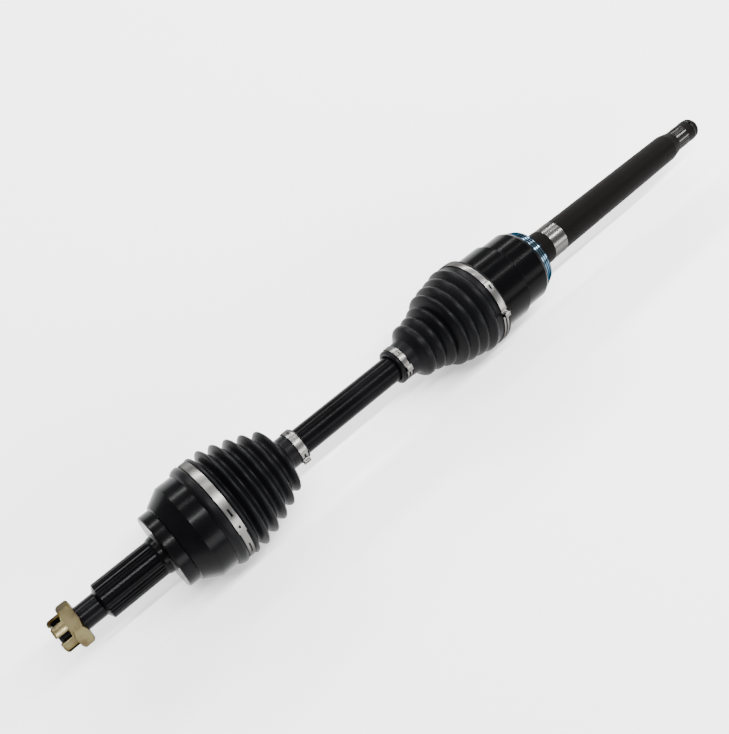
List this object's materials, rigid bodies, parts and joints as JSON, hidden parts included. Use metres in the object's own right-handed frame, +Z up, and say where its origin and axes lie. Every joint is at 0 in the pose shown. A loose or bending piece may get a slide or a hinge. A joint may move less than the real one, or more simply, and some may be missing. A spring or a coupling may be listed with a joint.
{
  "type": "cv axle",
  "caption": "Front-wheel-drive half shaft: splined stub and ball joint at the wheel end, bar, two bellows boots, tripod joint and a long shaft to the gearbox.",
  "frame": {"origin": "on the axle's axis, in the plane of the outer joint's shoulder face that seats on the wheel hub", "axes": "+X along the axle towards the gearbox end, +Z up, +Y to the left when looking along +X"},
  "size_m": [0.8454, 0.1028, 0.0998],
  "materials": {
    "black_paint": "semi-gloss black corrosion paint over forged steel",
    "black_shaft": "satin black paint, bare ground steel at the journal and the end spline",
    "boot_rubber": "satin black thermoplastic elastomer",
    "stainless_band": "bright rolled stainless strip",
    "zinc_plate": "blue-white zinc plating",
    "yellow_zinc": "yellow-olive zinc plating",
    "bearing_steel": "ground bearing steel, greased",
    "spring_steel": "phosphated spring steel"
  },
  "bodies": {
    "tripod_housing": {"tripod_housing_shaft": "black_shaft", "dust_shield": "zinc_plate", "inner_large_clamp": "stainless_band", "roller_retainer_ring": "spring_steel", "gearbox_circlip": "spring_steel"},
    "inner_boot": {"inner_boot": "boot_rubber"},
    "roller_1": {"roller_1": "bearing_steel", "needles_1": "bearing_steel"},
    "bar": {"axle_bar": "black_paint", "tripod_spider": "bearing_steel", "spider_circlip": "spring_steel", "roller_clip_1": "spring_steel", "roller_clip_2": "spring_steel", "roller_clip_3": "spring_steel", "inner_small_clamp": "stainless_band", "outer_small_clamp": "stainless_band", "inner_race": "bearing_steel", "inner_race_circlip": "spring_steel"},
    "roller_2": {"roller_2": "bearing_steel", "needles_2": "bearing_steel"},
    "roller_3": {"roller_3": "bearing_steel", "needles_3": "bearing_steel"},
    "ball_1": {"ball_1": "bearing_steel"},
    "cage": {"ball_cage": "bearing_steel", "ball_2": "bearing_steel", "ball_3": "bearing_steel", "ball_5": "bearing_steel", "ball_6": "bearing_steel"},
    "ball_4": {"ball_4": "bearing_steel"},
    "outer_race": {"outer_race_bell": "black_paint", "outer_large_clamp": "stainless_band", "outer_boot": "boot_rubber"},
    "axle_nut": {"axle_nut": "yellow_zinc"}
  },
  "joints": [
    {"name": "plunge", "type": "slide", "parent": "tripod_housing", "child": "inner_boot", "axis": [1, 0, 0], "range_m": [-0.011, 0.011], "deforming": ["inner_boot"]},
    {"name": "inner_sweep", "type": "hinge", "parent": "inner_boot", "child": "roller_1", "pos_m": [0.402, 0, 0], "axis": [0, 0, 1], "range_deg": [-13, 13], "deforming": ["inner_boot"]},
    {"name": "inner_lift", "type": "hinge", "parent": "roller_1", "child": "bar", "pos_m": [0.402, 0, 0], "axis": [0, 1, 0], "range_deg": [-13, 13], "deforming": ["inner_boot"]},
    {"name": "roller_2_spin", "type": "hinge", "parent": "bar", "child": "roller_2", "pos_m": [0.402, 0, 0], "axis": [0, -0.5, 0.866], "continuous": true},
    {"name": "roller_3_spin", "type": "hinge", "parent": "bar", "child": "roller_3", "pos_m": [0.402, 0, 0], "axis": [0, -0.5, -0.866], "continuous": true},
    {"name": "outer_sweep_bar_side", "type": "hinge", "parent": "bar", "child": "ball_1", "pos_m": [0.044, 0, 0], "axis": [0, 0, 1], "range_deg": [-16, 16], "deforming": ["outer_boot"]},
    {"name": "outer_lift_bar_side", "type": "hinge", "parent": "ball_1", "child": "cage", "pos_m": [0.044, 0, 0], "axis": [0, 1, 0], "range_deg": [-16, 16], "deforming": ["outer_boot"]},
    {"name": "outer_lift", "type": "hinge", "parent": "cage", "child": "ball_4", "pos_m": [0.044, 0, 0], "axis": [0, 1, 0], "range_deg": [-16, 16], "deforming": ["outer_boot"]},
    {"name": "outer_sweep", "type": "hinge", "parent": "ball_4", "child": "outer_race", "pos_m": [0.044, 0, 0], "axis": [0, 0, 1], "range_deg": [-16, 16], "deforming": ["outer_boot"]},
    {"name": "nut_turn", "type": "hinge", "parent": "outer_race", "child": "axle_nut", "pos_m": [-0.09, 0, 0], "axis": [1, 0, 0], "continuous": true}
  ],
  "couplings": [
    {"joint": "outer_sweep_bar_side", "follows": "outer_sweep", "ratio": 1},
    {"joint": "outer_lift_bar_side", "follows": "outer_lift", "ratio": 1}
  ]
}
